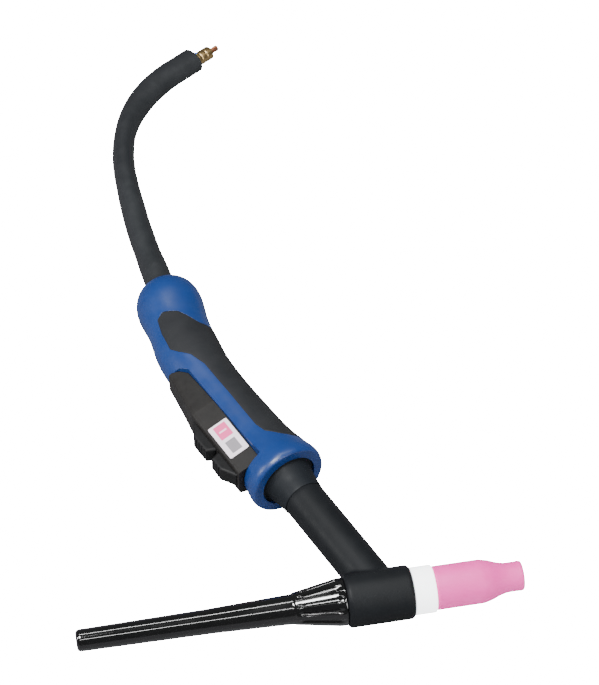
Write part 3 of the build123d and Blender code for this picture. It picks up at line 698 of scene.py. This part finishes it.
# ---- cable ---------------------------------------------------------------------------------------
SLEEVE_START = 8.7
STUB_LENGTH = 26.0
CABLE_STRAIGHT = 30.0
CABLE_BENDS = ((560.0, 8.0), (156.0, 11.0), (94.0, 45.0))  # radius, turn in degrees
CABLE_TAIL = 16.0
SLEEVE_LENGTH = CABLE_STRAIGHT + sum(r * radians(turn) for r, turn in CABLE_BENDS) + CABLE_TAIL


def on_cable(distance):
    """Centre, side and heading of the cable at a distance from the ball's centre."""
    centre, _, heading = station(BALL_AT)
    angle = NECK_ANGLE - BEND_TURN
    step = min(distance, CABLE_STRAIGHT)
    centre = centre + heading * step
    left = distance - step
    for radius, turn in CABLE_BENDS:
        turned = min(left, radius * radians(turn))
        if turned > 0:
            after = angle - degrees(turned / radius)
            centre += (along(angle - 90) - along(after - 90)) * radius
            angle = after
            left -= turned
    centre += along(angle) * left
    return centre, along(angle + 90), along(angle)


def cable_ring(distance, half_width, half_depth, segments, lift=0.0, shift=0.0, creases=0.0):
    """One ring of points round the cable, with shallow creases if asked."""
    centre, side, _ = on_cable(distance)
    ring = []
    for k in range(segments):
        turn = 2 * pi * k / segments
        across = half_width * cos(turn)
        up = half_depth * sin(turn)
        if creases:
            fold = noise.noise(Vector((cos(turn) * 1.3, sin(turn) * 1.3, distance * 0.07)))
            fine = noise.noise(Vector((cos(turn) * 3, sin(turn) * 3, distance * 0.35 + 40)))
            grow = 1 + creases * (0.7 * fold + 0.3 * fine)
            across *= grow
            up *= grow
        ring.append(at(centre + side * (across + shift) + UP * (up + lift)))
    return ring


# the sleeve is slack: distance from the ball, and half width in the torch's plane
SLEEVE_WIDTHS = (
    (0, 8.5),
    (26, 8.2),
    (42, 7.6),
    (75, 7.4),
    (108, 6.7),
    (145, 6.5),
    (195, 8.6),
    (240, 8.7),
)
SLEEVE_GIRTH = 7.6  # the radius it would have if it were round
SLEEVE_LEAST = 7.0
SLEEVE_SETTLES = 16  # the length over which it goes from round to oval, past the stub


def sleeve_oval(distance):
    """The sleeve's half width in the torch's plane and its half depth in Z."""
    for (start, before), (end, after) in zip(SLEEVE_WIDTHS, SLEEVE_WIDTHS[1:]):
        if start <= distance <= end:
            share = (distance - start) / (end - start)
            wide = before + (after - before) * share * share * (3 - 2 * share)
            break
    if distance <= STUB_LENGTH:
        return wide, wide
    settled = min(1.0, (distance - STUB_LENGTH) / SLEEVE_SETTLES)
    deep = max(SLEEVE_LEAST, 2 * SLEEVE_GIRTH - wide)
    return wide, wide + (deep - wide) * settled


SLEEVE_WALL = 1.3
SLEEVE_BORE = 7.0  # where it grips the stub
SLEEVE_LIP = 8.1
SLEEVE_EDGE = 0.3
SLEEVE_SEGMENTS = 72
CREASES = 0.025  # share of the radius

sleeve_rings = [
    cable_ring(SLEEVE_START, SLEEVE_BORE, SLEEVE_BORE, SLEEVE_SEGMENTS),
    cable_ring(SLEEVE_START, SLEEVE_LIP, SLEEVE_LIP, SLEEVE_SEGMENTS),
]
outside_steps = int(SLEEVE_LENGTH - SLEEVE_START)
outside_span = SLEEVE_LENGTH - SLEEVE_START - 2 * SLEEVE_EDGE
for i in range(outside_steps + 1):
    d = SLEEVE_START + SLEEVE_EDGE + outside_span * i / outside_steps
    wide, deep = sleeve_oval(d)
    sleeve_rings.append(cable_ring(d, wide, deep, SLEEVE_SEGMENTS, creases=CREASES))
end_wide, end_deep = sleeve_oval(SLEEVE_LENGTH)
for inset in (SLEEVE_EDGE, SLEEVE_WALL - SLEEVE_EDGE / 2):
    ring = cable_ring(
        SLEEVE_LENGTH, end_wide - inset, end_deep - inset, SLEEVE_SEGMENTS, creases=CREASES
    )
    sleeve_rings.append(ring)
inside_steps = 60
for i in range(inside_steps):
    d = SLEEVE_LENGTH - 0.4 - (SLEEVE_LENGTH - STUB_LENGTH - 1.0) * i / (inside_steps - 1)
    wide, deep = sleeve_oval(d)
    ring = cable_ring(
        d, wide - SLEEVE_WALL, deep - SLEEVE_WALL, SLEEVE_SEGMENTS, creases=CREASES
    )
    sleeve_rings.append(ring)
sleeve_rings.append(cable_ring(STUB_LENGTH, SLEEVE_BORE, SLEEVE_BORE, SLEEVE_SEGMENTS))
new_piece(
    "cable_sleeve_look",
    ring_mesh("cable_sleeve_look", sleeve_rings, closed_rings=True),
    "cable",
    SLEEVE,
    "cable_sleeve",
    smooth_angle=50,
)

HOSE_Z = -1.9
HOSE_START = 0.6
HOSE_END = SLEEVE_LENGTH + 13.5
HOSE_RADIUS = 3.6
HOSE_BORE = 2.7
CONTROL_Z = 3.6
CONTROL_START = 1.5
CONTROL_RADIUS = 1.7


def cable_tube(name, start, end, radius, lift, inner=0.0, segments=40):
    """A layer of the cable, hollow if it has an inner radius, with softened cut ends."""
    count = max(2, int((end - start) / 3))
    places = [start + (end - start) * i / count for i in range(count + 1)]
    edge = min(0.25, radius * 0.2)
    rings = [cable_ring(start, radius - edge, radius - edge, segments, lift)]
    for d in [start + edge] + places[1:-1] + [end - edge]:
        rings.append(cable_ring(d, radius, radius, segments, lift))
    rings.append(cable_ring(end, radius - edge, radius - edge, segments, lift))
    if not inner:
        return ring_mesh(name, rings, cap_ends=True)
    for d in reversed(places):
        rings.append(cable_ring(d, inner, inner, segments, lift))
    return ring_mesh(name, rings, closed_rings=True)


new_piece(
    "gas_hose_look",
    cable_tube("gas_hose_look", HOSE_START, HOSE_END, HOSE_RADIUS, HOSE_Z, HOSE_BORE),
    "cable",
    HOSE,
    "gas_hose",
)
new_piece(
    "control_cable_look",
    cable_tube(
        "control_cable_look", CONTROL_START, SLEEVE_LENGTH + 1, CONTROL_RADIUS, CONTROL_Z
    ),
    "cable",
    LEAD,
    "control_cable",
)

CORE_COLORS = ((0.55, 0.30, 0.05), (0.05, 0.12, 0.42), (0.42, 0.40, 0.05))
CORE_RADII = (0.5, 0.5, 0.5, 0.5, 0.35)  # evenly spaced, with the cut end rounded off
CORE_START = SLEEVE_LENGTH + 0.6
CORE_LENGTH = 2.2
CORE_OFFSET = 0.75  # from the middle of the control cable

for k, paint in enumerate(CORE_COLORS):
    turn = 2 * pi * k / len(CORE_COLORS)
    shift, lift = CORE_OFFSET * cos(turn), CONTROL_Z + CORE_OFFSET * sin(turn)
    core_rings = []
    for i, radius in enumerate(CORE_RADII):
        d = CORE_START + CORE_LENGTH * i / (len(CORE_RADII) - 1)
        core_rings.append(cable_ring(d, radius, radius, 16, lift, shift))
    name = f"control_core_{k}"
    mesh = ring_mesh(name, core_rings, cap_ends=True)
    new_piece(name, mesh, "cable", plain_plastic(f"core_{k}", paint))


OUTER_STRANDS = 6  # laid round one in the middle
STRAND_RADIUS = 0.64
STRAND_OFFSET = 1.3
STRAND_PITCH = 34
STRAND_STEP = 2.0
STRAND_SEGMENTS = 10


def strands(name, start, end, lift):
    """Copper strands twisted into one conductor."""
    shape = bmesh.new()
    for strand in range(OUTER_STRANDS + 1):
        ring_before = None
        offset = STRAND_OFFSET if strand else 0.0
        d = start
        while d <= end + 0.01:
            turn = 2 * pi * strand / OUTER_STRANDS + 2 * pi * d / STRAND_PITCH
            shift = offset * cos(turn)
            raised = lift + offset * sin(turn)
            points = cable_ring(d, STRAND_RADIUS, STRAND_RADIUS, STRAND_SEGMENTS, raised, shift)
            ring = [shape.verts.new(point) for point in points]
            if ring_before:
                for k in range(STRAND_SEGMENTS):
                    after = (k + 1) % STRAND_SEGMENTS
                    shape.faces.new((ring_before[k], ring_before[after], ring[after], ring[k]))
            else:
                shape.faces.new(list(reversed(ring)))
            ring_before = ring
            d += STRAND_STEP
        shape.faces.new(ring_before)
    bmesh.ops.recalc_face_normals(shape, faces=shape.faces)
    mesh = bpy.data.meshes.new(name)
    shape.to_mesh(mesh)
    shape.free()
    return mesh


CONDUCTOR_START = 4.0
CONDUCTOR_BARE = 8  # its length past the hose
new_piece(
    "power_conductor_look",
    strands("power_conductor_look", CONDUCTOR_START, HOSE_END + CONDUCTOR_BARE, HOSE_Z),
    "cable",
    COPPER,
    "power_conductor",
)

FERRULE_START = 1.5  # past the sleeve's end
FERRULE_END = 13.5
FERRULE_BORE = 3.65
FERRULE_RADIUS = 4.3
CRIMP_RADIUS = 4.0
CRIMPS = ((4.2, 4.8, 5.4), (8.4, 9.0, 9.6))  # start, bottom and end of each

ferrule_outline = [(FERRULE_START, FERRULE_BORE), (FERRULE_START, FERRULE_RADIUS)]
for start, bottom, end in CRIMPS:
    ferrule_outline += [(start, FERRULE_RADIUS), (bottom, CRIMP_RADIUS), (end, FERRULE_RADIUS)]
ferrule_outline += [(FERRULE_END, FERRULE_RADIUS), (FERRULE_END, FERRULE_BORE)]
ferrule_rings = [
    cable_ring(SLEEVE_LENGTH + past, radius, radius, 64, HOSE_Z)
    for past, radius in rounded(ferrule_outline, radius=0.35, steps=3)
]
new_piece(
    "hose_ferrule_look",
    ring_mesh("hose_ferrule_look", ferrule_rings, closed_rings=True),
    "cable",
    BRASS,
    "hose_ferrule",
)


# ---- stage, light and camera ---------------------------------------------------------------------
FLOOR_HALF = 6.0
FLOOR_GLOW = 30.0  # far past white, so that the camera sees an even background
FLOOR_BOUNCE = (0.85, 0.85, 0.86, 1)
FLOOR_IN_REFLECTIONS = (0.10, 0.10, 0.105, 1)

low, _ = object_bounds()
floor_mesh = bpy.data.meshes.new("floor")
floor_mesh.from_pydata(
    [(x * FLOOR_HALF, y * FLOOR_HALF, low.z) for x, y in ((-1, -1), (1, -1), (1, 1), (-1, 1))],
    [],
    [(0, 1, 2, 3)],
)
floor = bpy.data.objects.new("floor", floor_mesh)
bpy.context.scene.collection.objects.link(floor)


def white_floor():
    """Pure white to the camera, a soft white bounce for the light, and dark in reflections."""
    material = bpy.data.materials.new("floor_white")
    material.use_nodes = True
    tree = material.node_tree
    tree.nodes.clear()
    output = tree.nodes.new("ShaderNodeOutputMaterial")
    mix = tree.nodes.new("ShaderNodeMixShader")
    bounce = tree.nodes.new("ShaderNodeBsdfDiffuse")
    glow = tree.nodes.new("ShaderNodeEmission")
    glow.inputs["Strength"].default_value = FLOOR_GLOW
    path = tree.nodes.new("ShaderNodeLightPath")
    tone = tree.nodes.new("ShaderNodeMix")
    tone.data_type = "RGBA"
    tone.inputs[6].default_value = FLOOR_BOUNCE
    tone.inputs[7].default_value = FLOOR_IN_REFLECTIONS
    tree.links.new(path.outputs["Is Glossy Ray"], tone.inputs[0])
    tree.links.new(tone.outputs[2], bounce.inputs["Color"])
    tree.links.new(path.outputs["Is Camera Ray"], mix.inputs[0])
    tree.links.new(bounce.outputs[0], mix.inputs[1])
    tree.links.new(glow.outputs[0], mix.inputs[2])
    tree.links.new(mix.outputs[0], output.inputs["Surface"])
    return material


floor_mesh.materials.append(white_floor())

SKY_COLOR = (0.94, 0.97, 1.0, 1)
SKY_LEVEL = 1.0
SKY_IN_REFLECTIONS = 0.12


def studio_world():
    """Pale sky light that glossy surfaces hardly see, so that the blacks stay deep."""
    sky = bpy.data.worlds.new("studio")
    sky.use_nodes = True
    tree = sky.node_tree
    background = tree.nodes["Background"]
    background.inputs["Color"].default_value = SKY_COLOR
    path = tree.nodes.new("ShaderNodeLightPath")
    level = tree.nodes.new("ShaderNodeMapRange")
    level.inputs["To Min"].default_value = SKY_LEVEL
    level.inputs["To Max"].default_value = SKY_IN_REFLECTIONS
    tree.links.new(path.outputs["Is Glossy Ray"], level.inputs["Value"])
    tree.links.new(level.outputs["Result"], background.inputs["Strength"])
    return sky


bpy.context.scene.world = studio_world()


def area_light(name, place, target, size, power, depth=None):
    """A soft box aimed at a point, in metres and watts: square, or a strip if a depth is given."""
    lamp = bpy.data.lights.new(name, "AREA")
    lamp.size = size
    lamp.energy = power
    if depth:
        lamp.shape = "RECTANGLE"
        lamp.size_y = depth
    rig = bpy.data.objects.new(name, lamp)
    rig.location = place
    rig.rotation_mode = "QUATERNION"
    rig.rotation_quaternion = (Vector(target) - Vector(place)).to_track_quat("-Z", "Y")
    bpy.context.scene.collection.objects.link(rig)


HANDLE = at((-10, 180, 0))
BACK_CAP = at((-90, 0, 0))
# name, what it is aimed at, its place from there, size, power and, for a strip, depth;
# the two strips draw the long highlights on the polished cap
LIGHTS = (
    ("overhead", HANDLE, (-0.5, -0.25, 1.4), 0.45, 40, None),
    ("left_window", HANDLE, (-1.3, -0.1, 0.6), 0.3, 12, None),
    ("front_fill", HANDLE, (0.7, -1.3, 0.7), 0.7, 10, None),
    ("high_strip", BACK_CAP, (0.15, 0.45, 1.25), 1.2, 8, 0.05),
    ("low_strip", BACK_CAP, (0.15, -0.70, 1.2), 1.2, 6, 0.05),
)
for name, target, offset, size, power, depth in LIGHTS:
    area_light(name, target + Vector(offset), target, size, power, depth)

# the camera, aimed at the torch's middle from so many metres
AZIMUTH = radians(-10.4)
ELEVATION = radians(47.0)
DISTANCE = 1.4
SENSOR = 36.0
LENS = 131.6
aim = at((-10.3, 181.7, 0))
back = Vector(
    (sin(AZIMUTH) * cos(ELEVATION), -cos(AZIMUTH) * cos(ELEVATION), sin(ELEVATION))
)
lens = bpy.data.cameras.new("camera")
lens.lens = LENS
lens.sensor_width = SENSOR
lens.clip_end = 50
camera = bpy.data.objects.new("camera", lens)
camera.location = aim + back * DISTANCE
camera.rotation_mode = "QUATERNION"
camera.rotation_quaternion = (-back).to_track_quat("-Z", "Y")
bpy.context.scene.collection.objects.link(camera)
bpy.context.scene.camera = camera
